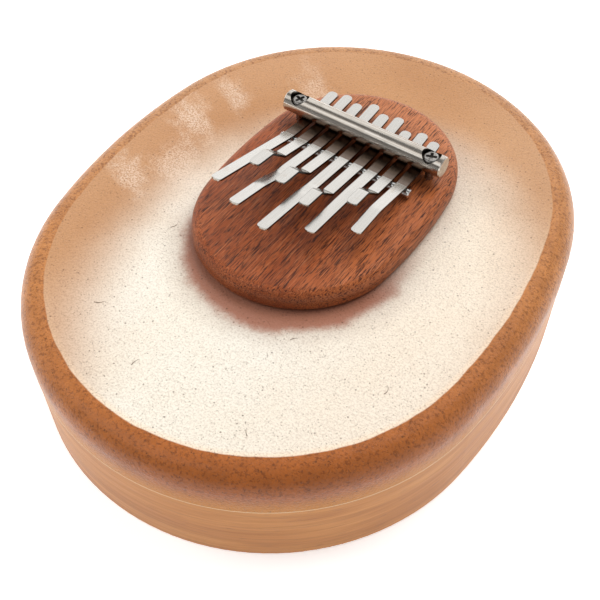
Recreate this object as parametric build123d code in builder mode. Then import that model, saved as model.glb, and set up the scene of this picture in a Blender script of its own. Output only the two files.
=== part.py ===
from build123d import *
import os
from math import sin, cos, radians, sqrt

# Mbira on an oval skin drum.
# Millimetres, +Z up.  The origin is the centre of the base.  +Y is the long way, towards the
# pressure bar, and -Y is the player's side, where the tines point.

# ---- driving dimensions: drum -------------------------------------------------------------
drum_length = 210.0          # over the skin
drum_width = 170.0
drum_end_radius = 83.0       # radius of the two rounded ends; the sides are long, shallow arcs
rim_height = 44.8            # top of the skin
rim_round = 7.8              # rounding of the rim's outer edge, over the skin
skin_thickness = 0.6
skin_wrap = 16.6             # how far the skin comes down the side
skin_step = 0.15             # how far the skin stands proud of the wood below its edge
wall = 8.2                   # wood only, under the skin
base_round = 0.8
inner_round = 0.8

# ---- driving dimensions: board ------------------------------------------------------------
board_length = 106.0
board_width = 75.0
board_end_radius = 36.5
board_thickness = 7.6
board_top_round = 3.9
board_base_round = 2.0
board_x = 1.3                # the board's centre on the drum
board_y = 11.5
board_turn = -2.5            # degrees; it is mounted a touch clockwise, seen from above

# ---- driving dimensions: bridges, bar and screws ------------------------------------------
bridge_diameter = 3.4
bridge_length = 53.0
front_bridge_y = 9.6         # on the board, from its centre
back_bridge_y = 28.0
bar_y = 22.0
bar_diameter = 7.6
bar_length = 63.6
bar_chamfer = 0.35
screw_spacing = 53.6
counterbore_diameter = 6.7
counterbore_depth = 3.3
bar_hole_diameter = 3.3
screw_diameter = 3.0
screw_depth = 5.5            # into the board
head_diameter = 5.7
head_height = 2.0
head_round = 0.8
recess_width = 1.1
recess_length = 3.8
recess_depth = 1.2
screw_point = 0.9            # chamfer at the tip of a shank

# ---- driving dimensions: under plate ------------------------------------------------------
plate_length = 64.0
plate_width = 44.0
plate_end_radius = 21.0
plate_thickness = 5.0
plate_round = 1.5
mount_spacing = 40.0
mount_diameter = 3.5
mount_depth = 5.0            # into the board
mount_head_diameter = 6.4
mount_head_height = 2.2
mount_clearance = 0.25       # radial, where the screws pass the plate and the skin

# ---- driving dimensions: tines ------------------------------------------------------------
tine_width = 4.0
tine_thickness = 0.8
tine_pitch = 5.73            # at the front bridge
tine_fan = 0.5               # degrees between neighbours
tine_rest = 3.2              # underside of a tine on the front bridge, above the board
tine_dip = 0.9               # how far the bar pushes the tines down behind the front bridge
back_rest = 2.75             # underside of a tine on the back bridge
contact_gap = 0.03           # between a tine and the bar or a bridge
hinge_gap = 0.2              # each side of the line where a tongue leaves its bridge
bend_radius = 1.0            # inside of a sharp bend
bar_bend_radius = 6.0        # of a tine under the bar
tail_radius = 1.9            # rounded back end
tip_radius = 1.4             # rounded corners of the playing end
# Tails: how far each tine reaches behind the front bridge, first to ninth.
tine_tails = (28.1, 29.3, 27.4, 30.3, 27.7, 29.1, 24.7, 26.8, 25.2)
# Tongues: the corners of each tine in front of the bridge, as (reach, rise) of its underside.
long_tongues = {
    1: ((24.0, 5.5), (40.0, 9.1)),
    3: ((21.0, 3.5), (32.0, 7.1), (46.0, 10.0)),
    5: ((19.0, 2.5), (25.5, 4.3), (48.0, 7.5)),
    7: ((14.0, 2.3), (39.5, 5.6)),
    9: ((18.0, 4.1), (31.0, 4.9)),
}
# The short ones: where the ramp starts, and how far they reach in all.
short_tongues = {2: (12.8, 2.8, 27.7), 4: (15.0, 2.7, 29.8), 6: (19.0, 2.7, 33.8), 8: (9.6, 1.6, 24.0)}
ramp_run = 6.4
ramp_rise = 5.8
tip_slope = 0.12
gentle_radius = 14.0         # of the slight bends in the long tines
short_edge_tolerance = 0.01

# ---- worked out ---------------------------------------------------------------------------
wood_top = rim_height - skin_thickness
skin_edge = rim_height - skin_wrap
board_top = rim_height + board_thickness
bridge_radius = bridge_diameter / 2
front_bridge_axis = tine_rest - contact_gap - bridge_radius
back_bridge_axis = back_rest - contact_gap - bridge_radius
bridge_rods = (
    ("front_bridge", front_bridge_y, front_bridge_axis),
    ("back_bridge", back_bridge_y, back_bridge_axis),
)
bar_radius = bar_diameter / 2
bar_axis = tine_rest - tine_dip + tine_thickness + contact_gap + bar_radius
bar_top = bar_axis + bar_radius
head_seat = bar_top - counterbore_depth
bar_reach = front_bridge_y - bar_y                    # negative: the bar is behind the bridge
back_reach = front_bridge_y - back_bridge_y
tail_rise = (back_rest - tine_rest + tine_dip) / (bar_reach - back_reach)   # slope behind the bar
board_plane = Plane(
    origin=(board_x, board_y, board_top),
    x_dir=(cos(radians(board_turn)), sin(radians(board_turn)), 0),
    z_dir=(0, 0, 1),
)


def oval(length, width, end_radius):
    """The outline of four tangent arcs that the drum, the board and the plate share."""
    half_length = length / 2
    half_width = width / 2
    end_centre = half_length - end_radius
    side_radius = (end_centre**2 + half_width**2 - end_radius**2) / (2 * (half_width - end_radius))
    side_centre = side_radius - half_width
    reach = end_radius / sqrt(side_centre**2 + end_centre**2)
    join_x = side_centre * reach
    join_y = end_centre * (1 + reach)
    with BuildSketch() as outline:
        with BuildLine():
            ThreePointArc((join_x, -join_y), (half_width, 0), (join_x, join_y))
            ThreePointArc((join_x, join_y), (0, half_length), (-join_x, join_y))
            ThreePointArc((-join_x, join_y), (-half_width, 0), (-join_x, -join_y))
            ThreePointArc((-join_x, -join_y), (0, -half_length), (join_x, -join_y))
        make_face()
    return outline.sketch_local


def drum_oval(inset):
    """The drum's outline, moved inwards."""
    return oval(drum_length - 2 * inset, drum_width - 2 * inset, drum_end_radius - inset)


def on_board(x, y, height=0.0, x_dir=(1, 0, 0), z_dir=(0, 0, 1)):
    """A plane placed from the centre of the board's top, along the board's own directions."""
    return Plane(board_plane * Plane(origin=(x, y, height), x_dir=x_dir, z_dir=z_dir))


def rod_end(length, y, axis_height):
    """The plane of a cross rod's left end, facing along the rod."""
    return on_board(-length / 2, y, axis_height, x_dir=(0, 1, 0), z_dir=(1, 0, 0))


def finish(part, label):
    """Name a sub-part and write it."""
    part.label = label
    export_step(part, f"parts/{label}.step")
    print(f"{label}: {part.volume:.1f} mm3")


os.makedirs("parts", exist_ok=True)
pieces = []

# ---- frame: a bent wooden wall, open underneath -------------------------------------------
with BuildPart() as frame_ring:
    with BuildSketch(Plane.XY):
        add(drum_oval(skin_thickness))
    extrude(amount=wood_top)
    fillet(faces().sort_by(Axis.Z)[-1].edges(), rim_round - skin_thickness)
    with BuildSketch(Plane.XY):
        add(drum_oval(skin_step))
    extrude(amount=skin_edge)
    fillet(faces().sort_by(Axis.Z)[0].edges(), base_round)
    with BuildSketch(Plane.XY):
        add(drum_oval(skin_thickness + wall))
    extrude(amount=wood_top, mode=Mode.SUBTRACT)
    fillet(faces().sort_by(Axis.Z)[-1].inner_wires().edges(), inner_round)
    fillet(faces().sort_by(Axis.Z)[0].inner_wires().edges(), inner_round)
pieces.append((frame_ring, "frame_ring"))

# ---- skin: flat over the frame, rounded over the rim, glued down the side -------------------
with BuildPart() as skin_head:
    with BuildSketch(Plane.XY.offset(skin_edge)):
        add(drum_oval(0))
    extrude(amount=skin_wrap)
    fillet(faces().sort_by(Axis.Z)[-1].edges(), rim_round)
    with BuildPart(mode=Mode.PRIVATE) as hollow:
        with BuildSketch(Plane.XY.offset(skin_edge)):
            add(drum_oval(skin_thickness))
        extrude(amount=skin_wrap - skin_thickness)
        fillet(faces().sort_by(Axis.Z)[-1].edges(), rim_round - skin_thickness)
    add(hollow.part, mode=Mode.SUBTRACT)
    for side in (-1, 1):
        with BuildSketch(on_board(0, side * mount_spacing / 2, -board_thickness)):
            Circle(mount_diameter / 2 + mount_clearance)
        extrude(amount=-skin_thickness, mode=Mode.SUBTRACT)
pieces.append((skin_head, "skin_head"))

# ---- board: rounded hardwood, grooved for the bridges, drilled for the screws ---------------
with BuildPart() as tine_board:
    with BuildSketch(board_plane.offset(-board_thickness)):
        add(oval(board_length, board_width, board_end_radius))
    extrude(amount=board_thickness)
    fillet(faces().sort_by(Axis.Z)[-1].edges(), board_top_round)
    fillet(faces().sort_by(Axis.Z)[0].edges(), board_base_round)
    for _, bridge_y, bridge_axis in bridge_rods:
        with BuildSketch(rod_end(bridge_length, bridge_y, bridge_axis)):
            Circle(bridge_radius)
        extrude(amount=bridge_length, mode=Mode.SUBTRACT)
    for side in (-1, 1):
        with BuildSketch(on_board(side * screw_spacing / 2, bar_y)):
            Circle(screw_diameter / 2)
        extrude(amount=-screw_depth, mode=Mode.SUBTRACT)
        with BuildSketch(on_board(0, side * mount_spacing / 2, -board_thickness)):
            Circle(mount_diameter / 2)
        extrude(amount=mount_depth, mode=Mode.SUBTRACT)
pieces.append((tine_board, "tine_board"))

# ---- bridges: two steel rods under the tines ------------------------------------------------
for bridge_name, bridge_y, bridge_axis in bridge_rods:
    with BuildPart() as bridge:
        with BuildSketch(rod_end(bridge_length, bridge_y, bridge_axis)):
            Circle(bridge_radius)
        extrude(amount=bridge_length)
        chamfer(edges().filter_by(GeomType.CIRCLE), bar_chamfer)
    pieces.append((bridge, bridge_name))

# ---- pressure bar: a round rod, counterbored near each end ----------------------------------
with BuildPart() as pressure_bar:
    with BuildSketch(rod_end(bar_length, bar_y, bar_axis)):
        Circle(bar_radius)
    extrude(amount=bar_length)
    chamfer(edges().filter_by(GeomType.CIRCLE), bar_chamfer)
    for side in (-1, 1):
        with BuildSketch(on_board(side * screw_spacing / 2, bar_y, head_seat)):
            Circle(counterbore_diameter / 2)
        extrude(amount=counterbore_depth, mode=Mode.SUBTRACT)
        with BuildSketch(on_board(side * screw_spacing / 2, bar_y, head_seat)):
            Circle(bar_hole_diameter / 2)
        extrude(amount=-bar_diameter, mode=Mode.SUBTRACT)
pieces.append((pressure_bar, "pressure_bar"))

# ---- bar screws: round heads with a cross recess, shanks down into the board ----------------
for side, screw_name in ((-1, "bar_screw_left"), (1, "bar_screw_right")):
    seat = on_board(side * screw_spacing / 2, bar_y, head_seat)
    with BuildPart() as bar_screw:
        with BuildSketch(seat):
            Circle(head_diameter / 2)
        extrude(amount=head_height)
        fillet(faces().sort_by(Axis.Z)[-1].edges(), head_round)
        with BuildSketch(seat):
            Circle(screw_diameter / 2)
        extrude(amount=-(head_seat + screw_depth))
        chamfer(faces().sort_by(Axis.Z)[0].edges(), screw_point)
        with BuildSketch(seat.offset(head_height)):
            with Locations(Rotation(0, 0, side * 20)):
                Rectangle(recess_length, recess_width)
                Rectangle(recess_width, recess_length)
        extrude(amount=-recess_depth, mode=Mode.SUBTRACT)
    pieces.append((bar_screw, screw_name))

# ---- under plate and its screws: they hold the board down on the skin -----------------------
plate_plane = board_plane.offset(-board_thickness - skin_thickness)
with BuildPart() as under_plate:
    with BuildSketch(plate_plane):
        add(oval(plate_length, plate_width, plate_end_radius))
    extrude(amount=-plate_thickness)
    fillet(faces().sort_by(Axis.Z)[0].edges(), plate_round)
    for side in (-1, 1):
        with BuildSketch(on_board(0, side * mount_spacing / 2, -board_thickness - skin_thickness)):
            Circle(mount_diameter / 2 + mount_clearance)
        extrude(amount=-plate_thickness, mode=Mode.SUBTRACT)
pieces.append((under_plate, "under_plate"))

mount_length = plate_thickness + skin_thickness + mount_depth
for side, screw_name in ((-1, "mount_screw_front"), (1, "mount_screw_back")):
    seat = on_board(0, side * mount_spacing / 2, mount_depth - board_thickness - mount_length)
    with BuildPart() as mount_screw:
        with BuildSketch(seat):
            Circle(mount_head_diameter / 2)
        extrude(amount=-mount_head_height)
        fillet(faces().sort_by(Axis.Z)[0].edges(), head_round)
        with BuildSketch(seat):
            Circle(mount_diameter / 2)
        extrude(amount=mount_length)
        chamfer(faces().sort_by(Axis.Z)[-1].edges(), screw_point)
        with BuildSketch(seat.offset(-mount_head_height)):
            Rectangle(recess_length, recess_width)
            Rectangle(recess_width, recess_length)
        extrude(amount=recess_depth, mode=Mode.SUBTRACT)
    pieces.append((mount_screw, screw_name))


# ---- tines: a clamped heel behind the front bridge and a plucked tongue in front of it -------
def tine_plane(number):
    """The upright plane along a tine: x forwards from the front bridge, y up from the board."""
    lean = radians((5 - number) * tine_fan)
    forwards = (-sin(lean), -cos(lean), 0)
    sideways = (-cos(lean), sin(lean), 0)
    return on_board((number - 5) * tine_pitch, front_bridge_y, x_dir=forwards, z_dir=sideways)


def strip(corners, radii):
    """A strip's side view: its underside through the corners, and its thickness above."""
    with BuildSketch() as side_view:
        with BuildLine():
            if radii:
                FilletPolyline(*corners, radius=radii)
            else:
                Line(*corners)
            offset(amount=tine_thickness, side=Side.LEFT)
        make_face()
    return side_view.sketch_local


def heel_corners(number):
    """The underside of a heel, from its tail to the front bridge."""
    tail = -tine_tails[number - 1]
    low = tine_rest - tine_dip
    front_rise = tine_dip / -bar_reach
    tail_height = low + (bar_reach - tail) * tail_rise
    return [(tail, tail_height), (bar_reach, low), (-hinge_gap, tine_rest - hinge_gap * front_rise)]


def tongue_corners(number):
    """The underside of a tongue, from the front bridge to its tip, and its bend radii."""
    if number in long_tongues:
        rises = list(long_tongues[number])
        radii = [gentle_radius] * (len(rises) - 1)
    else:
        ramp_start, ramp_foot, reach = short_tongues[number]
        ramp_end = ramp_start + ramp_run
        ramp_top = ramp_foot + ramp_rise
        tip_rise = ramp_top + (reach - ramp_end) * tip_slope
        rises = [(ramp_start, ramp_foot), (ramp_end, ramp_top), (reach, tip_rise)]
        radii = [bend_radius + tine_thickness, bend_radius]
    first_slope = rises[0][1] / rises[0][0]
    start = (hinge_gap, tine_rest + hinge_gap * first_slope)
    return [start] + [(reach, tine_rest + rise) for reach, rise in rises], radii


def end_edges(plane, end):
    """The two short edges through a strip's thickness: at its back end (-1) or its tip (1)."""
    short = edges().filter_by(lambda edge: abs(edge.length - tine_thickness) < short_edge_tolerance)
    along = short.sort_by(Axis(plane.origin, plane.x_dir))
    return along[:2] if end < 0 else along[-2:]


for number in range(1, 10):
    plane = tine_plane(number)
    with BuildPart() as heel:
        with BuildSketch(plane):
            add(strip(heel_corners(number), [bar_bend_radius]))
        extrude(amount=tine_width / 2, both=True)
        fillet(end_edges(plane, -1), tail_radius)
    pieces.append((heel, f"tine_{number}_heel"))
    corners, radii = tongue_corners(number)
    with BuildPart() as tongue:
        with BuildSketch(plane):
            add(strip(corners, radii))
        extrude(amount=tine_width / 2, both=True)
        fillet(end_edges(plane, 1), tip_radius)
    pieces.append((tongue, f"tine_{number}_tongue"))

for builder, label in pieces:
    finish(builder.part, label)
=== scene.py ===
"""Mbira on an oval skin drum: its looks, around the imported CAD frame.  Metres, +Z up."""

import bpy
import math
from collections import namedtuple
from mathutils import Matrix, Vector


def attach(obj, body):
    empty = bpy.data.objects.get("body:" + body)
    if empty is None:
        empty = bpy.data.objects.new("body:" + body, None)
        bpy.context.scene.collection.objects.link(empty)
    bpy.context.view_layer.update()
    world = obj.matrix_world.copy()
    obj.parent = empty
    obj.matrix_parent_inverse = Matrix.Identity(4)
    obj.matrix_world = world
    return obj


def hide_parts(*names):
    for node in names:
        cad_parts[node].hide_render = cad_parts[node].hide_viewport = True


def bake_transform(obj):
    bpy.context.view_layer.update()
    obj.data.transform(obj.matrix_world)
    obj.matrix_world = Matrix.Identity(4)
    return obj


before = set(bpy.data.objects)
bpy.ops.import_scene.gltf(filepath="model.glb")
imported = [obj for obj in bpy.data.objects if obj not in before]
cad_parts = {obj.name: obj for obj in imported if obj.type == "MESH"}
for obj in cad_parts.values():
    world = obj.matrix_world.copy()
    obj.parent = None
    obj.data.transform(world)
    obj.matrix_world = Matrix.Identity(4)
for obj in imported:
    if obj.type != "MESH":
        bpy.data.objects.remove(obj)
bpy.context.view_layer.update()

MM = 0.001
TO_MM = (1000, 1000, 1000)         # scale of a place in metres to one in millimetres
EVEN = (1, 1, 1)                   # scale that leaves a place as it is
DRUM = "drum"                      # the CAD body that all fixed pieces ride on

# ---- driving sizes, in millimetres, as the CAD has them --------------------------------------
DRUM_LENGTH = 210.0
DRUM_WIDTH = 170.0
DRUM_END_RADIUS = 83.0
SKIN_TOP = 44.8
SKIN_EDGE = 28.2                   # the lower edge of the skin
WALL_INSET = 8.8                   # from the outside of the skin to the inside of the wood
BOARD_CENTRE = Vector((1.3, 11.5, 52.4))
BOARD_SIZE = (75.0, 106.0, 36.5)   # width, length and end radius
BOARD_TURN = math.radians(-2.5)
FRONT_BRIDGE_Y = 9.6
BAR_Y = 22.0
SCREW_SPACING = 53.6
COUNTERBORE = 6.7
TINE_WIDTH = 4.0
TINE_THICKNESS = 0.8
TINE_PITCH = 5.73
TINE_FAN = math.radians(0.5)
TINE_REST = 3.2                    # underside of a tine on the front bridge, above the board
TINE_DIP = 0.9                     # how far the bar pushes the tines down
BACK_REST = 2.75
BACK_BRIDGE_Y = 28.0
TAIL_RADIUS = 1.9
TIP_RADIUS = 1.4
BEND_RADIUS = 1.0
BAR_BEND_RADIUS = 6.0
GENTLE_RADIUS = 14.0               # of a long tongue's slight bends
MIDDLE_TINE = 5
# How far each tine's tail is behind the front bridge.
TINE_TAILS = (28.1, 29.3, 27.4, 30.3, 27.7, 29.1, 24.7, 26.8, 25.2)
# A long tongue's bends and tip: how far in front of the bridge, and how high over the bridge.
LONG_TONGUES = {
    1: ((24.0, 5.5), (40.0, 9.1)),
    3: ((21.0, 3.5), (32.0, 7.1), (46.0, 10.0)),
    5: ((19.0, 2.5), (25.5, 4.3), (48.0, 7.5)),
    7: ((14.0, 2.3), (39.5, 5.6)),
    9: ((18.0, 4.1), (31.0, 4.9)),
}
# A short tongue: where its ramp starts, how high that is over the bridge, and where its tip is.
SHORT_TONGUES = {
    2: (12.8, 2.8, 27.7),
    4: (15.0, 2.7, 29.8),
    6: (19.0, 2.7, 33.8),
    8: (9.6, 1.6, 24.0),
}
RAMP_RUN = 6.4
RAMP_RISE = 5.8
TIP_SLOPE = 0.12                   # rise for each millimetre of a short tongue's raised tip


# ---- node helpers ---------------------------------------------------------------------------
class Shader:
    """One material's node tree, with short ways to add the nodes used here."""

    MIX_INPUTS = (0, 6, 7)         # a Mix node's factor and its two colours
    MIX_RESULT = 2                 # its colour output

    def __init__(self, name):
        self.material = bpy.data.materials.new(name)
        self.material.use_nodes = True
        self.tree = self.material.node_tree
        self.tree.nodes.clear()
        self.output = self.node("ShaderNodeOutputMaterial")

    def node(self, kind, **settings):
        made = self.tree.nodes.new(kind)
        for key, value in settings.items():
            setattr(made, key, value)
        return made

    def link(self, source, target):
        self.tree.links.new(source, target)

    def set(self, socket, value):
        """Link an output into a socket, or give it a plain value."""
        if isinstance(value, bpy.types.NodeSocket):
            self.link(value, socket)
        elif isinstance(value, (tuple, list)) and len(value) == 3 and socket.type == "RGBA":
            socket.default_value = (*value, 1.0)
        else:
            socket.default_value = value

    def object_place(self):
        """Where the surface is, in metres, in the row frame."""
        return self.node("ShaderNodeTexCoord").outputs["Object"]

    def attribute(self, name):
        return self.node("ShaderNodeAttribute", attribute_name=name).outputs["Vector"]

    def stretch(self, where, scale, turn=0.0, centre=(0, 0, 0)):
        """A place moved to a centre, turned about Z, then scaled."""
        moved = self.node("ShaderNodeVectorMath", operation="SUBTRACT")
        self.link(where, moved.inputs[0])
        moved.inputs[1].default_value = centre
        turned = self.node("ShaderNodeVectorRotate", rotation_type="Z_AXIS")
        self.link(moved.outputs[0], turned.inputs["Vector"])
        turned.inputs["Angle"].default_value = -turn
        scaled = self.node("ShaderNodeVectorMath", operation="MULTIPLY")
        self.link(turned.outputs[0], scaled.inputs[0])
        scaled.inputs[1].default_value = scale
        return scaled.outputs[0]

    def noise(self, where, scale, detail, roughness, distortion=0.0):
        made = self.node("ShaderNodeTexNoise")
        self.link(where, made.inputs["Vector"])
        made.inputs["Scale"].default_value = scale
        made.inputs["Detail"].default_value = detail
        made.inputs["Roughness"].default_value = roughness
        made.inputs["Distortion"].default_value = distortion
        return made.outputs["Fac"]

    def cells(self, where, scale):
        """The distance to the nearest random point, and that point's random colour."""
        made = self.node("ShaderNodeTexVoronoi")
        self.link(where, made.inputs["Vector"])
        made.inputs["Scale"].default_value = scale
        return made.outputs["Distance"], made.outputs["Color"]

    def ramp(self, value, *stops):
        """A colour ramp; each stop is (position, colour)."""
        made = self.node("ShaderNodeValToRGB")
        made.color_ramp.interpolation = "LINEAR"
        while len(made.color_ramp.elements) < len(stops):
            made.color_ramp.elements.new(0.5)
        for element, (position, colour) in zip(made.color_ramp.elements, stops):
            element.position = position
            element.color = (*colour, 1.0)
        self.link(value, made.inputs["Fac"])
        return made.outputs["Color"]

    def span(self, value, low, high, out_low=0.0, out_high=1.0, smooth=True):
        """A value mapped from one span to another and held inside it."""
        made = self.node("ShaderNodeMapRange", interpolation_type="SMOOTHSTEP" if smooth else "LINEAR")
        self.set(made.inputs["Value"], value)
        made.inputs["From Min"].default_value = low
        made.inputs["From Max"].default_value = high
        made.inputs["To Min"].default_value = out_low
        made.inputs["To Max"].default_value = out_high
        return made.outputs["Result"]

    def mix(self, share, a, b):
        """Colour a where the share is 0, and colour b where it is 1."""
        made = self.node("ShaderNodeMix", data_type="RGBA")
        factor, colour_a, colour_b = (made.inputs[k] for k in self.MIX_INPUTS)
        self.set(factor, share)
        self.set(colour_a, a)
        self.set(colour_b, b)
        return made.outputs[self.MIX_RESULT]

    def stain(self, colour, mask, strength, tone, depth):
        """A colour taken towards a tone by the depth, where the mask is, at a strength."""
        return self.mix(self.times(mask, strength), colour, self.mix(depth, colour, tone))

    def maths(self, operation, a, b=0.0):
        made = self.node("ShaderNodeMath", operation=operation)
        self.set(made.inputs[0], a)
        self.set(made.inputs[1], b)
        return made.outputs[0]

    def plus(self, a, b):
        return self.maths("ADD", a, b)

    def minus(self, a, b):
        return self.maths("SUBTRACT", a, b)

    def times(self, a, b):
        return self.maths("MULTIPLY", a, b)

    def wander(self, noise, reach):
        """A noise value centred on zero, with its full swing spread over the reach."""
        return self.times(self.minus(noise, 0.5), reach)

    def axes(self, where):
        made = self.node("ShaderNodeSeparateXYZ")
        self.link(where, made.inputs[0])
        return made.outputs

    def hypotenuse(self, a, b):
        squares = self.plus(self.times(a, a), self.times(b, b))
        return self.maths("SQRT", squares)

    def oval_inset(self, where, length, width, end_radius):
        """How far a place in millimetres is inside the oval of four tangent arcs, in millimetres."""
        end_centre = length / 2 - end_radius
        half_width = width / 2
        side_radius = (end_centre**2 + half_width**2 - end_radius**2) / (2 * (half_width - end_radius))
        side_centre = side_radius - half_width
        x, y, _ = self.axes(where)
        x = self.maths("ABSOLUTE", x)
        y = self.maths("ABSOLUTE", y)
        to_end = self.hypotenuse(x, self.minus(y, end_centre))
        to_side = self.hypotenuse(self.plus(x, side_centre), y)
        join_line = self.times(x, end_centre / side_centre)
        past_join = self.minus(self.minus(y, end_centre), join_line)
        at_end = self.maths("GREATER_THAN", past_join, 0.0)
        end_inset = self.minus(end_radius, to_end)
        side_inset = self.minus(side_radius, to_side)
        difference = self.times(at_end, self.minus(end_inset, side_inset))
        return self.plus(side_inset, difference)

    def bump(self, height, strength, distance):
        made = self.node("ShaderNodeBump")
        made.inputs["Strength"].default_value = strength
        made.inputs["Distance"].default_value = distance
        self.link(height, made.inputs["Height"])
        return made.outputs["Normal"]

    def principled(self, **values):
        """The surface; each value's name is a socket's, with underscores for spaces."""
        made = self.node("ShaderNodeBsdfPrincipled")
        for key, value in values.items():
            self.set(made.inputs[key.replace("_", " ")], value)
        self.link(made.outputs[0], self.output.inputs["Surface"])


# ---- the skin ---------------------------------------------------------------------------------
FAR_WALL_SHIFT = (16.0, -29.0, 0.0)     # the far wall's painted shade, seen through the skin, reaches in from the rim by this much
BOARD_SHADE_SHIFT = Vector((2.4, -6.6))  # from the board's centre to the centre of its painted shadow
# Chalky clouds on the skin: centre, reach along and across their lie, and strength.
CHALK_TURN = math.radians(-35)
CHALK_CLOUDS = (
    ((-64.0, 22.0), (17.0, 9.0), 0.6),
    ((-59.0, 42.0), (15.0, 7.0), 0.45),
    ((-66.0, -15.0), (13.0, 7.0), 0.5),
    ((-54.0, -1.0), (16.0, 11.0), 0.4),
    ((-34.0, 60.0), (20.0, 9.0), 0.35),
)
# Hair pores, large then small: cell scale, the share of cells without one, size, and strength.
PORE_SIZES = (
    (420, 0.55, 0.16, 0.75),
    (950, 0.35, 0.24, 0.45),
)

# A point of the skin, in metres and in millimetres, and how far it is inside the drum's outline.
SkinPlace = namedtuple("SkinPlace", "where flat inset x y z")


def drum_colour(s, at, cloud):
    """Cream where the skin is lit through over the open drum, and tan by the far wall as painted shade of
    the wall seen through the skin; also how far the skin is lit through there.
    """
    # Painted shade: tan is painted where the far wall's shade shows through the skin, and cream where the
    # skin is lit through.
    shifted = s.stretch(at.flat, EVEN, centre=FAR_WALL_SHIFT)
    depth = s.oval_inset(shifted, DRUM_LENGTH, DRUM_WIDTH, DRUM_END_RADIUS)
    lit_through_skin = s.span(s.plus(depth, s.wander(cloud, 10)), 3, 38)
    cream = s.ramp(cloud, (0.3, (0.87, 0.79, 0.66)), (0.7, (0.87, 0.82, 0.72)))
    tan = s.ramp(cloud, (0.3, (0.43, 0.20, 0.078)), (0.72, (0.50, 0.252, 0.108)))
    colour = s.mix(lit_through_skin, tan, cream)

    # A warm tint lies well in from the left wall, and a faint one all down the right side.
    left_tint = s.times(s.span(at.inset, 44, 6, 0, 0.6), s.span(at.x, -2, -48))
    colour = s.mix(left_tint, colour, (0.56, 0.30, 0.15))
    right_tint = s.span(at.x, 0, 66, 0, 0.25)
    colour = s.mix(right_tint, colour, (0.74, 0.50, 0.32))
    return colour, lit_through_skin


def add_chalk(s, at, colour, patches, fine):
    """Pale, chalky clouds where the skin is thicker, down the left side."""
    chalk = s.span(fine, 0.40, 0.58, 0.2, 1.0)
    for place, reach, strength in CHALK_CLOUDS:
        away = s.stretch(at.flat, (1 / reach[0], 1 / reach[1], 0), CHALK_TURN, (*place, 0))
        x_away, y_away, _ = s.axes(away)
        edge = s.plus(s.hypotenuse(x_away, y_away), s.wander(patches, 2.4))
        cloud_here = s.times(s.span(edge, 1.1, 0.1, 0, strength), s.span(at.inset, 1, 6))
        colour = s.mix(s.times(cloud_here, chalk), colour, (0.86, 0.71, 0.58))
    return colour


def band_colour(s, at):
    """Brown, mottled and speckled where the skin is glued to the wood, with painted shade towards the
    front; golden down the side.
    """
    from_front = s.plus(s.times(at.x, -0.54), s.times(at.y, 0.84))
    # Painted shade: the band is painted darkest where it faces the front and lightest at the back.
    band_painted_light = s.span(from_front, -100, 70, smooth=False)
    front = (0.0, (0.41, 0.115, 0.023))
    middle = (0.45, (0.54, 0.215, 0.062))
    back = (1.0, (0.52, 0.255, 0.105))
    band = s.ramp(band_painted_light, front, middle, back)
    mottle = s.span(s.noise(at.where, 110, 6, 0.8), 0.38, 0.66)
    band = s.stain(band, mottle, 0.42, (0.16, 0.045, 0.012), 0.7)
    specks = s.span(s.noise(at.where, 900, 3, 0.7), 0.51, 0.62)
    band = s.stain(band, specks, 0.72, (0.13, 0.035, 0.01), 0.75)
    golden = s.span(at.z, SKIN_EDGE + 9.0, SKIN_EDGE + 1.0)
    return s.mix(s.times(golden, 0.95), band, (0.54, 0.20, 0.020))


def add_band(s, at, colour, lit_through_skin):
    """The glued band, up to a slightly wavy line, with a painted highlight on the skin just inside it."""
    # Painted highlight: a pale peach strip on the skin just inside the band, where the skin is lit through.
    painted_edge_highlight = s.span(at.inset, WALL_INSET + 2.2, WALL_INSET + 0.3, smooth=False)
    colour = s.mix(s.times(s.times(painted_edge_highlight, lit_through_skin), 0.45), colour, (0.95, 0.68, 0.44))
    wavy = s.wander(s.noise(at.where, 130, 2, 0.5), 0.8)
    over_wood = s.span(s.plus(at.inset, wavy), WALL_INSET + 0.35, WALL_INSET - 0.15)
    return s.mix(over_wood, colour, band_colour(s, at))


def add_board_shade(s, at, colour):
    """Painted shadow of the board on the skin in front of it, with a painted reflection of the board's
    red-brown side nearest it, on the outside only.
    """
    width, length, end_radius = BOARD_SIZE
    centre = BOARD_CENTRE.xy + BOARD_SHADE_SHIFT
    board_place = s.stretch(at.flat, EVEN, BOARD_TURN, (*centre, 0))
    board_inset = s.oval_inset(board_place, length, width, end_radius)
    ragged = s.plus(board_inset, s.wander(s.noise(at.where, 75, 5, 0.7), 9))
    outside = s.span(at.z, SKIN_TOP - 0.4, SKIN_TOP - 0.1)
    shaded = s.times(outside, s.span(s.axes(board_place)[1], 8, -26, 0.1, 1.0))
    # Painted shadow: grey-beige, widest in front of the board.
    painted_shadow = s.times(s.span(ragged, -11, 1, 0, 0.5), shaded)
    colour = s.mix(painted_shadow, colour, (0.45, 0.35, 0.285))
    # Painted reflection: the board's red-brown side, close around its front edge.
    painted_red_reflection = s.times(s.span(ragged, -3.6, 1.6, 0, 0.9), shaded)
    return s.mix(painted_red_reflection, colour, (0.33, 0.11, 0.058))


def add_pores(s, at, colour, fine):
    """Fine grain and hair pores; also where the small pores are."""
    grain = s.span(fine, 0.36, 0.56, 1.0, 0.0)
    colour = s.stain(colour, grain, 0.38, (0.22, 0.10, 0.05), 0.6)
    for scale, without, size, strength in PORE_SIZES:
        distance, number = s.cells(at.where, scale)
        has_pore = s.span(s.axes(number)[0], without, without + 0.1)
        pore = s.times(s.span(distance, size, size * 0.5), has_pore)
        colour = s.stain(colour, pore, strength, (0.08, 0.035, 0.015), 0.8)
    return colour, pore


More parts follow.
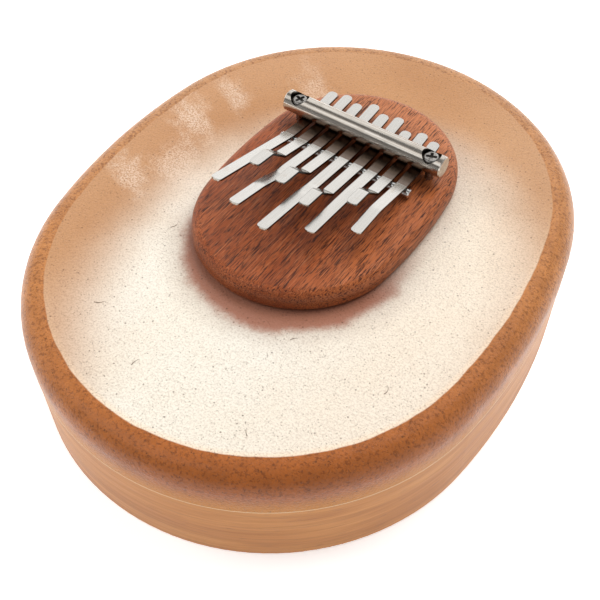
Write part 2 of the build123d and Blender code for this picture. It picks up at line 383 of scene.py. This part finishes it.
def make_skin():
    """Goat skin, painted opaque: cream over the open drum, brown over the wood, its cut edge pale."""
    s = Shader("skin")
    where = s.object_place()
    flat = s.stretch(where, TO_MM)
    inset = s.oval_inset(flat, DRUM_LENGTH, DRUM_WIDTH, DRUM_END_RADIUS)
    at = SkinPlace(where, flat, inset, *s.axes(flat))
    cloud = s.noise(where, 22, 3, 0.6)
    patches = s.noise(s.stretch(where, (70, 95, 70), CHALK_TURN), 1, 6, 0.72, 0.4)
    fine = s.noise(where, 1700, 2, 0.6)

    colour, lit_through_skin = drum_colour(s, at, cloud)
    colour = add_chalk(s, at, colour, patches, fine)
    colour = add_band(s, at, colour, lit_through_skin)
    colour = add_board_shade(s, at, colour)
    colour, pore = add_pores(s, at, colour, fine)
    cut_edge = s.span(at.z, SKIN_EDGE + 0.45, SKIN_EDGE + 0.1)
    colour = s.mix(s.times(cut_edge, 0.8), colour, (0.85, 0.70, 0.42))

    pebble = s.noise(where, 1300, 2, 0.5)
    s.principled(
        Base_Color=colour,
        Roughness=s.span(patches, 0.3, 0.7, 0.34, 0.46),
        Specular_IOR_Level=0.22,
        Coat_Weight=0.2,
        Coat_Roughness=0.18,
        Normal=s.bump(s.minus(pebble, s.times(pore, 0.5)), 0.85, 0.0003),
    )
    return s.material


# ---- wood and steel ---------------------------------------------------------------------------
def make_frame_wood():
    """Light brown bent wood, its grain running round the drum."""
    s = Shader("frame_wood")
    where = s.object_place()
    broad = s.noise(s.stretch(where, (16, 16, 260)), 1, 4, 0.6, 0.4)
    streaks = s.noise(s.stretch(where, (32, 32, 1500)), 1, 4, 0.65, 0.2)
    flecks = s.noise(s.stretch(where, (170, 170, 2300)), 1, 2, 0.5)
    dark = (0.3, (0.42, 0.145, 0.024))
    middle = (0.5, (0.52, 0.200, 0.040))
    light = (0.72, (0.62, 0.270, 0.068))
    colour = s.ramp(broad, dark, middle, light)
    colour = s.mix(s.span(streaks, 0.45, 0.75, 0, 0.5), colour, (0.33, 0.145, 0.065))
    colour = s.mix(s.span(flecks, 0.62, 0.72, 0, 0.45), colour, (0.23, 0.09, 0.04))
    normal = s.bump(s.plus(streaks, s.times(flecks, -0.6)), 0.25, 0.0002)
    s.principled(
        Base_Color=colour,
        Roughness=s.span(streaks, 0.3, 0.7, 0.34, 0.48),
        Specular_IOR_Level=0.22,
        Coat_Weight=0.1,
        Coat_Roughness=0.25,
        Normal=normal,
    )
    return s.material


def make_board_wood():
    """Reddish hardwood with short dark pores along the tines' direction."""
    s = Shader("board_wood")
    where = s.object_place()

    def grain(scale, detail, roughness, distortion=0.0, centre=(0, 0, 0)):
        return s.noise(s.stretch(where, scale, BOARD_TURN, centre), 1, detail, roughness, distortion)

    broad = grain((95, 9, 95), 4, 0.6, 0.6)
    fibre = grain((2400, 40, 2400), 4, 0.7)
    fleck = grain((4300, 300, 4300), 2, 0.5)
    streak = grain((2700, 170, 2700), 1, 0.5, centre=(0.05, 0, 0))
    pale_streak = grain((2900, 90, 2900), 2, 0.6, centre=(0, 0.03, 0))

    dark = (0.28, (0.225, 0.045, 0.011))
    middle = (0.5, (0.33, 0.078, 0.020))
    light = (0.74, (0.46, 0.126, 0.039))
    colour = s.ramp(broad, dark, middle, light)
    # Painted light: lighter towards the board's right side and its back end, where more light falls.
    across, lengthwise, _ = s.axes(s.stretch(where, EVEN, BOARD_TURN, BOARD_CENTRE * MM))
    colour = s.mix(s.span(across, 0.012, 0.036, 0, 0.35), colour, (0.60, 0.19, 0.055))
    colour = s.mix(s.span(lengthwise, 0.016, 0.046, 0, 0.6), colour, (0.62, 0.24, 0.10))
    dark_fibre = s.mix(0.6, colour, (0.10, 0.022, 0.008))
    colour = s.mix(s.span(fibre, 0.40, 0.66, 0, 0.6), colour, dark_fibre)
    pores = s.span(fleck, 0.56, 0.60)
    colour = s.mix(s.times(pores, 0.8), colour, (0.06, 0.015, 0.006))
    long_pores = s.span(streak, 0.585, 0.62)
    colour = s.mix(s.times(long_pores, 0.9), colour, (0.045, 0.011, 0.005))
    pale_fibre = s.span(pale_streak, 0.56, 0.66)
    colour = s.mix(s.times(pale_fibre, 0.35), colour, (0.66, 0.24, 0.10))
    s.principled(
        Base_Color=colour,
        Roughness=s.span(fibre, 0.3, 0.75, 0.40, 0.55),
        Specular_IOR_Level=0.3,
        Coat_Weight=0.08,
        Coat_Roughness=0.3,
        Normal=s.bump(s.minus(fibre, s.times(pores, 0.9)), 0.3, 0.00015),
    )
    return s.material


def make_plate_wood():
    """Plain pale wood for the plate inside."""
    s = Shader("plate_wood")
    where = s.object_place()
    grain = s.noise(s.stretch(where, (25, 700, 700), BOARD_TURN), 1, 4, 0.6, 0.3)
    rings = s.noise(s.stretch(where, (6, 140, 140), BOARD_TURN), 1, 3, 0.6)
    colour = s.ramp(rings, (0.3, (0.44, 0.25, 0.12)), (0.7, (0.60, 0.38, 0.20)))
    colour = s.mix(s.span(grain, 0.5, 0.75, 0, 0.5), colour, (0.30, 0.15, 0.07))
    s.principled(Base_Color=colour, Roughness=0.6, Normal=s.bump(grain, 0.3, 0.0002))
    return s.material


def make_tine_steel():
    """Satin spring steel with a fine grain along each tine, painted reflection and shade between the bar
    and the front bridge, and its sides painted dark as painted shade.
    """
    s = Shader("tine_steel")
    along = s.attribute("grain")
    brushed = s.noise(s.stretch(along, (45, 3200, 3200)), 1, 4, 0.7)
    stain = s.noise(s.stretch(along, (140, 260, 260)), 1, 4, 0.6)
    speckle = s.noise(s.stretch(along, (1500, 2200, 2200)), 1, 3, 0.7)
    colour = s.ramp(brushed, (0.25, (0.555, 0.53, 0.495)), (0.75, (0.67, 0.65, 0.615)))
    colour = s.mix(s.span(speckle, 0.55, 0.72, 0, 0.28), colour, (0.46, 0.43, 0.40))
    colour = s.mix(s.span(stain, 0.56, 0.8, 0, 0.4), colour, (0.56, 0.47, 0.39))
    # Painted reflection and shade: dark brown between the bar and the front bridge, where the steel mirrors
    # the board, and darkest next to the bar.
    on_board = s.stretch(s.object_place(), TO_MM, BOARD_TURN, BOARD_CENTRE * MM)
    lengthwise = s.axes(on_board)[1]
    past_bridge = s.span(lengthwise, FRONT_BRIDGE_Y - 0.1, FRONT_BRIDGE_Y + 0.5)
    clamped = s.times(past_bridge, s.span(lengthwise, BAR_Y + 0.6, BAR_Y))
    towards_bar = s.span(lengthwise, FRONT_BRIDGE_Y, BAR_Y - 3.5)
    painted_dark_reflection = s.mix(towards_bar, (0.155, 0.11, 0.085), (0.11, 0.06, 0.035))
    colour = s.mix(s.times(clamped, 0.92), colour, painted_dark_reflection)
    # Painted shade and reflection: the strip's sides are painted near black.
    _, across, _ = s.axes(along)
    half_width = TINE_WIDTH / 2
    edge = s.span(s.maths("ABSOLUTE", across), (half_width - 0.16) * MM, (half_width - 0.04) * MM)
    colour = s.mix(s.times(edge, 0.9), colour, (0.09, 0.08, 0.07))
    s.principled(
        Base_Color=colour,
        Metallic=1.0,
        Roughness=s.span(brushed, 0.25, 0.75, 0.17, 0.27),
        Normal=s.bump(brushed, 0.05, 0.00004),
    )
    return s.material


def make_bar_steel():
    """Drawn steel rod with lengthwise streaks; painted shade, dark, down in the counterbores."""
    s = Shader("bar_steel")
    where = s.object_place()
    local = s.stretch(where, EVEN, BOARD_TURN, BOARD_CENTRE * MM)
    drawn = s.noise(s.stretch(local, (22, 1900, 1900)), 1, 4, 0.65)
    fine = s.noise(s.stretch(local, (260, 5200, 5200)), 1, 3, 0.6)
    smudge = s.noise(local, 160, 3, 0.55)
    dark = (0.3, (0.42, 0.365, 0.31))
    middle = (0.5, (0.56, 0.51, 0.45))
    light = (0.72, (0.74, 0.70, 0.64))
    colour = s.ramp(drawn, dark, middle, light)
    colour = s.mix(s.span(smudge, 0.5, 0.75, 0, 0.35), colour, (0.36, 0.32, 0.27))
    x, y, _ = s.axes(local)
    # Painted shade: the counterbores are painted near black.
    along_bore = s.minus(s.maths("ABSOLUTE", x), SCREW_SPACING / 2 * MM)
    from_screw = s.hypotenuse(along_bore, s.minus(y, BAR_Y * MM))
    painted_bore_shade = s.span(from_screw, (COUNTERBORE / 2 + 0.05) * MM, (COUNTERBORE / 2 - 0.08) * MM)
    colour = s.mix(s.times(painted_bore_shade, 0.95), colour, (0.05, 0.04, 0.032))
    s.principled(
        Base_Color=colour,
        Metallic=1.0,
        Roughness=s.span(fine, 0.3, 0.7, 0.13, 0.26),
        Normal=s.bump(s.plus(drawn, s.times(fine, 0.3)), 0.12, 0.00005),
    )
    return s.material


def make_plain_steel(name, dark, light, scale, roughness, turned):
    """Bright steel with fine marks: along the rods, or random on the screws."""
    s = Shader(name)
    where = s.object_place()
    marks = s.noise(s.stretch(where, scale, turned), 1, 4, 0.65)
    spots = s.noise(where, 900, 3, 0.6)
    colour = s.ramp(marks, (0.3, dark), (0.7, light))
    colour = s.mix(s.span(spots, 0.55, 0.75, 0, 0.4), colour, dark)
    s.principled(
        Base_Color=colour,
        Metallic=1.0,
        Roughness=s.span(marks, 0.3, 0.7, roughness, roughness + 0.14),
        Normal=s.bump(marks, 0.2, 0.00005),
    )
    return s.material


skin_look = make_skin()
frame_wood = make_frame_wood()
board_wood = make_board_wood()
plate_wood = make_plate_wood()
tine_steel = make_tine_steel()
bar_steel = make_bar_steel()
rod_steel = make_plain_steel(
    "rod_steel",
    dark=(0.46, 0.44, 0.42),
    light=(0.80, 0.79, 0.77),
    scale=(40, 2500, 2500),
    roughness=0.14,
    turned=BOARD_TURN,
)
screw_steel = make_plain_steel(
    "screw_steel",
    dark=(0.17, 0.155, 0.14),
    light=(0.52, 0.50, 0.47),
    scale=(700, 700, 1800),
    roughness=0.2,
    turned=0.0,
)

LOOKS = {
    "frame_ring": frame_wood,
    "skin_head": skin_look,
    "tine_board": board_wood,
    "under_plate": plate_wood,
    "pressure_bar": bar_steel,
    "front_bridge": rod_steel,
    "back_bridge": rod_steel,
    "bar_screw_left": screw_steel,
    "bar_screw_right": screw_steel,
    "mount_screw_front": screw_steel,
    "mount_screw_back": screw_steel,
}
for node, look in LOOKS.items():
    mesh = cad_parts[node].data
    mesh.materials.clear()
    mesh.materials.append(look)


def tube_faces(first, rings, sides):
    """Outward faces of a closed tube whose rings go anticlockwise, as seen from its far end."""
    faces = []
    last = first + (rings - 1) * sides
    for near in range(first, last, sides):
        far = near + sides
        for k in range(sides):
            n = (k + 1) % sides
            faces.append((near + k, near + n, far + n, far + k))
    faces.append(tuple(reversed(range(first, first + sides))))
    faces.append(tuple(range(last, last + sides)))
    return faces


def smooth_object(name, vertices, faces, look):
    """A smooth-shaded object with one material, in the scene."""
    mesh = bpy.data.meshes.new(name)
    mesh.from_pydata(vertices, [], faces)
    for polygon in mesh.polygons:
        polygon.use_smooth = True
    mesh.materials.append(look)
    made = bpy.data.objects.new(name, mesh)
    bpy.context.scene.collection.objects.link(made)
    return made


# ---- tines: one bent strip each, running from the clamped heel to the plucked tongue ----------
ARC_STEP = math.radians(4)
STATION_STEP = 0.9                 # mm between cross-sections on the straights
SAME_STATION = 1e-4                # mm; nearer stations than this are one
EDGE_ROUND = 0.10                  # mm, the rounded edges of the strip
EDGE_STEPS = 3
LEAST_ROUND = 0.01                 # mm; no corner of a section is sharper, so that no two points meet
LEAST_FLAT = 0.02                  # mm, half of a section's flat top where the strip's end is narrowest
EDGE_ROW = 0.12                    # mm from a rounded edge to the next row of points
END_STEPS = 8
END_GAP = 0.1                      # mm between an end's own cuts and the path's stations
GRAIN_APART = 70                   # mm between one tine's place in the steel's grain and the next


def bent_path(corners, radii):
    """Stations (distance, x, z, slope angle) along a line with rounded corners."""
    points = [Vector(c) for c in corners]
    stations = []
    distance = 0.0
    start = points[0]
    for i in range(1, len(points)):
        heading = (points[i] - points[i - 1]).normalized()
        angle = math.atan2(heading.y, heading.x)
        if i < len(points) - 1:
            onward = (points[i + 1] - points[i]).normalized()
            turn = math.atan2(onward.y, onward.x) - angle
            cut = radii[i - 1] * math.tan(abs(turn) / 2)
        else:
            turn = 0.0
            cut = 0.0
        end = points[i] - heading * cut
        length = (end - start).length
        steps = max(1, math.ceil(length / STATION_STEP))
        for k in range(steps + 1):
            at = start.lerp(end, k / steps)
            stations.append((distance + length * k / steps, at.x, at.y, angle))
        distance += length
        if cut:
            side = math.copysign(1.0, turn)
            centre = end + Vector((-heading.y, heading.x)) * side * radii[i - 1]
            steps = max(2, math.ceil(abs(turn) / ARC_STEP))
            for k in range(1, steps):
                swept = turn * k / steps
                now = angle + swept
                spoke = Vector((math.sin(now), -math.cos(now))) * side * radii[i - 1]
                at = centre + spoke
                stations.append((distance + radii[i - 1] * abs(swept), at.x, at.y, now))
            distance += radii[i - 1] * abs(turn)
            start = points[i] + onward * cut
    kept = [stations[0]]
    for station in stations[1:]:
        if station[0] - kept[-1][0] > SAME_STATION:
            kept.append(station)
    return kept


def along_path(stations, distance):
    """The station at a distance, worked out between its neighbours."""
    for before, after in zip(stations, stations[1:]):
        if distance <= after[0]:
            share = (distance - before[0]) / (after[0] - before[0])
            return tuple(b + (a - b) * share for b, a in zip(before, after))
    return stations[-1]


def strip_section(half_width, shrink):
    """A rounded cross-section as (across, up from the underside), anticlockwise seen from the tip."""
    low = shrink
    high = TINE_THICKNESS - shrink
    r = max(EDGE_ROUND - shrink, LEAST_ROUND)
    flat = max(half_width - shrink - r, LEAST_FLAT)
    row = flat - min(EDGE_ROW, flat / 2)
    ring = []
    for sign_w, sign_h, first in ((1, -1, -90), (1, 1, 0), (-1, 1, 90), (-1, -1, 180)):
        corner_x = sign_w * flat
        corner_z = high - r if sign_h > 0 else low + r
        for k in range(EDGE_STEPS + 1):
            a = math.radians(first + 90 * k / EDGE_STEPS)
            ring.append((corner_x + r * math.cos(a), corner_z + r * math.sin(a)))
        if (sign_w, sign_h) == (1, 1):
            ring.extend(((row, high), (0.0, high), (-row, high)))
        if (sign_w, sign_h) == (-1, -1):
            ring.extend(((-row, low), (0.0, low), (row, low)))
    return ring[::-1]


def tine_line(number):
    """The underside of a tine from tail to tip, as corners and their bend radii."""
    tail = -TINE_TAILS[number - 1]
    bar = FRONT_BRIDGE_Y - BAR_Y
    low = TINE_REST - TINE_DIP
    tail_slope = (BACK_REST - low) / (BACK_BRIDGE_Y - BAR_Y)
    corners = [(tail, low + (bar - tail) * tail_slope), (bar, low), (0.0, TINE_REST)]
    radii = [BAR_BEND_RADIUS, BEND_RADIUS]
    if number in LONG_TONGUES:
        tongue = list(LONG_TONGUES[number])
        radii += [GENTLE_RADIUS] * (len(tongue) - 1)
    else:
        ramp_start, ramp_foot, reach = SHORT_TONGUES[number]
        ramp_top = ramp_foot + RAMP_RISE
        ramp_end = ramp_start + RAMP_RUN
        tip_rise = ramp_top + (reach - ramp_end) * TIP_SLOPE
        tongue = [(ramp_start, ramp_foot), (ramp_end, ramp_top), (reach, tip_rise)]
        radii += [BEND_RADIUS + TINE_THICKNESS, BEND_RADIUS]
    return corners + [(x, TINE_REST + rise) for x, rise in tongue], radii


def tine_cuts(stations):
    """Where to cut a tine across, from tail to tip: (distance, half width, shrink)."""
    total = stations[-1][0]
    cuts = []
    for near, radius, inwards in ((0.0, TAIL_RADIUS, 1), (total, TIP_RADIUS, -1)):
        end_half = TINE_WIDTH / 2 - radius
        for k in range(EDGE_STEPS + 1):     # the rounded rim of the end
            a = math.radians(90 * k / EDGE_STEPS)
            away = EDGE_ROUND * (1 - math.sin(a))
            cuts.append((near + inwards * away, end_half, EDGE_ROUND * (1 - math.cos(a))))
        for k in range(1, END_STEPS + 1):   # its outline, seen from above
            a = math.pi / 2 * k / END_STEPS
            away = radius * (1 - math.cos(a))
            if away > EDGE_ROUND * 1.2:
                cuts.append((near + inwards * away, end_half + radius * math.sin(a), 0.0))
    first = TAIL_RADIUS + END_GAP
    last = total - TIP_RADIUS - END_GAP
    cuts += [(station[0], TINE_WIDTH / 2, 0.0) for station in stations if first < station[0] < last]
    return sorted(cuts, key=lambda cut: cut[0])


def make_tine(number):
    stations = bent_path(*tine_line(number))
    cuts = tine_cuts(stations)
    lean = (MIDDLE_TINE - number) * TINE_FAN
    forwards = Vector((-math.sin(lean), -math.cos(lean), 0))
    sideways = Vector((-math.cos(lean), math.sin(lean), 0))
    to_row = Matrix.Translation(BOARD_CENTRE) @ Matrix.Rotation(BOARD_TURN, 4, "Z")
    origin = Vector(((number - MIDDLE_TINE) * TINE_PITCH, FRONT_BRIDGE_Y, 0))
    vertices = []
    grain = []
    for distance, half_width, shrink in cuts:
        _, x, z, angle = along_path(stations, distance)
        for across, up in strip_section(half_width, shrink):
            ahead_by = x - up * math.sin(angle)
            height = z + up * math.cos(angle)
            local = origin + forwards * ahead_by + sideways * across + Vector((0, 0, height))
            vertices.append((to_row @ local) * MM)
            grain.extend(((distance + GRAIN_APART * number) * MM, across * MM, up * MM))
    faces = tube_faces(0, len(cuts), len(vertices) // len(cuts))
    made = smooth_object(f"tine_{number}", vertices, faces, tine_steel)
    attribute = made.data.attributes.new("grain", "FLOAT_VECTOR", "POINT")
    attribute.data.foreach_set("vector", grain)
    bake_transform(made)
    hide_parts(f"tine_{number}_heel", f"tine_{number}_tongue")


for tine_number in range(1, len(TINE_TAILS) + 1):
    make_tine(tine_number)


# ---- a few short hairs left lying on the skin -------------------------------------------------
HAIR_RADIUS = 0.09
HAIR_TAPER = 0.75                  # share of its radius that a hair has lost at its tip
HAIR_SIDES = 5
HAIR_STEPS = 10
# Each hair: where it starts on the skin, its heading in degrees, its length and how far it turns.
HAIRS = (
    (-38.0, -67.0, 10.0, 3.6, 60.0),
    (-12.5, -80.0, 95.0, 3.2, -40.0),
    (57.0, -49.0, 60.0, 3.8, 95.0),
    (23.0, -47.0, 75.0, 2.8, -60.0),
    (-37.0, -28.0, 40.0, 3.0, 65.0),
    (31.0, -82.0, 150.0, 3.0, -50.0),
)


def make_hair_look():
    """Dark brown hair, a little uneven."""
    s = Shader("hair")
    shade = s.noise(s.object_place(), 700, 2, 0.5)
    colour = s.ramp(shade, (0.35, (0.09, 0.045, 0.02)), (0.65, (0.20, 0.11, 0.055)))
    s.principled(Base_Color=colour, Roughness=0.45)
    return s.material


def make_hairs():
    vertices = []
    faces = []
    for x, y, heading, length, turn in HAIRS:
        faces += tube_faces(len(vertices), HAIR_STEPS + 1, HAIR_SIDES)
        step = length / HAIR_STEPS
        for k in range(HAIR_STEPS + 1):
            share = k / HAIR_STEPS
            facing = math.radians(heading + turn * share)
            radius = HAIR_RADIUS * (1.0 - HAIR_TAPER * share * share)
            for side in range(HAIR_SIDES):
                a = 2 * math.pi * side / HAIR_SIDES
                out = radius * math.cos(a)
                z = SKIN_TOP + radius * (1 + math.sin(a))
                place = Vector((x - math.sin(facing) * out, y + math.cos(facing) * out, z))
                vertices.append(place * MM)
            x += math.cos(facing) * step
            y += math.sin(facing) * step
    made = smooth_object("skin_hairs", vertices, faces, make_hair_look())
    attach(made, DRUM)


make_hairs()


# ---- studio ---------------------------------------------------------------------------------
FLOOR_REACH = 3.0
FLOOR_DROP = -0.0001               # a hair below the drum, so the two faces don't share a plane


def make_floor():
    mesh = bpy.data.meshes.new("studio_floor")
    signs = ((-1, -1), (1, -1), (1, 1), (-1, 1))
    mesh.from_pydata([(x * FLOOR_REACH, y * FLOOR_REACH, FLOOR_DROP) for x, y in signs], [], [(0, 1, 2, 3)])
    floor = bpy.data.objects.new("studio_floor", mesh)
    bpy.context.scene.collection.objects.link(floor)
    paper = Shader("studio_floor")
    paper.principled(
        Base_Color=(0.92, 0.92, 0.92),
        Roughness=0.9,
        Specular_IOR_Level=0.2,
        Emission_Color=(1, 1, 1),
        Emission_Strength=0.54,
    )
    mesh.materials.append(paper.material)


def make_surroundings():
    """A white room for the steel to mirror, dimmer overhead and behind the camera."""
    world = bpy.data.worlds.new("studio")
    world.use_nodes = True
    sky = world.node_tree
    around = sky.nodes.new("ShaderNodeTexCoord")
    split = sky.nodes.new("ShaderNodeSeparateXYZ")
    sky.links.new(around.outputs["Generated"], split.inputs[0])

    def fade(axis, low, high, out_low, out_high):
        made = sky.nodes.new("ShaderNodeMapRange")
        sky.links.new(split.outputs[axis], made.inputs["Value"])
        made.inputs["From Min"].default_value = low
        made.inputs["From Max"].default_value = high
        made.inputs["To Min"].default_value = out_low
        made.inputs["To Max"].default_value = out_high
        return made.outputs["Result"]

    both = sky.nodes.new("ShaderNodeMath")
    both.operation = "MULTIPLY"
    sky.links.new(fade("Z", 0.12, 0.5, 1.0, 0.26), both.inputs[0])
    sky.links.new(fade("Y", -0.9, -0.3, 0.35, 1.0), both.inputs[1])
    background = sky.nodes["Background"]
    sky.links.new(both.outputs[0], background.inputs["Strength"])
    background.inputs["Color"].default_value = (1, 1, 1, 1)
    bpy.context.scene.world = world


def softbox(name, direction, distance, size, radiance, mirrored=True):
    """A rectangular light aimed at the drum.  One that isn't mirrored only lights."""
    place = Vector(direction).normalized() * distance
    light = bpy.data.lights.new(name, "AREA")
    light.shape = "RECTANGLE"
    light.size, light.size_y = size
    light.energy = radiance * size[0] * size[1] * math.pi
    made = bpy.data.objects.new(name, light)
    made.location = place
    made.rotation_mode = "QUATERNION"
    made.rotation_quaternion = (-place).to_track_quat("-Z", "Y")
    made.visible_glossy = mirrored
    bpy.context.scene.collection.objects.link(made)


make_floor()
make_surroundings()
softbox("back_box", (-0.43, 0.69, 0.625), 1.4, (1.7, 1.0), 0.95)
softbox("front_box", (-0.34, -0.48, 0.81), 1.3, (0.9, 0.75), 1.05)
softbox("left_fill", (-0.85, -0.35, 0.65), 1.2, (0.7, 0.5), 4.6, mirrored=False)
softbox("top_fill", (0.15, 0.50, 0.85), 1.2, (0.9, 0.9), 4.4, mirrored=False)


# ---- camera ---------------------------------------------------------------------------------
VIEW_AZIMUTH = math.radians(32.58)
VIEW_ELEVATION = math.radians(50.88)
VIEW_DISTANCE = 0.3575
VIEW_ROLL = math.radians(-0.54)
VIEW_STEP = -0.0027                # metres to the right of the line of sight; here it is to the left
VIEW_LIFT = 0.0004
VIEW_LENS = 56.76
VIEW_SENSOR = 36.0
VIEW_CLIP = 0.01


def make_camera():
    camera = bpy.data.objects.new("camera", bpy.data.cameras.new("camera"))
    camera.data.lens = VIEW_LENS
    camera.data.sensor_width = VIEW_SENSOR
    camera.data.clip_start = VIEW_CLIP
    backwards = Vector((
        math.sin(VIEW_AZIMUTH) * math.cos(VIEW_ELEVATION),
        -math.cos(VIEW_AZIMUTH) * math.cos(VIEW_ELEVATION),
        math.sin(VIEW_ELEVATION),
    ))
    facing = backwards.to_track_quat("Z", "Y") @ Matrix.Rotation(VIEW_ROLL, 3, "Z").to_quaternion()
    camera.rotation_mode = "QUATERNION"
    camera.rotation_quaternion = facing
    aside = facing @ Vector((VIEW_STEP, 0, 0))
    camera.location = backwards * VIEW_DISTANCE + aside + Vector((0, 0, VIEW_LIFT))
    bpy.context.scene.collection.objects.link(camera)
    bpy.context.scene.camera = camera


make_camera()
bpy.context.scene.view_settings.view_transform = "Standard"
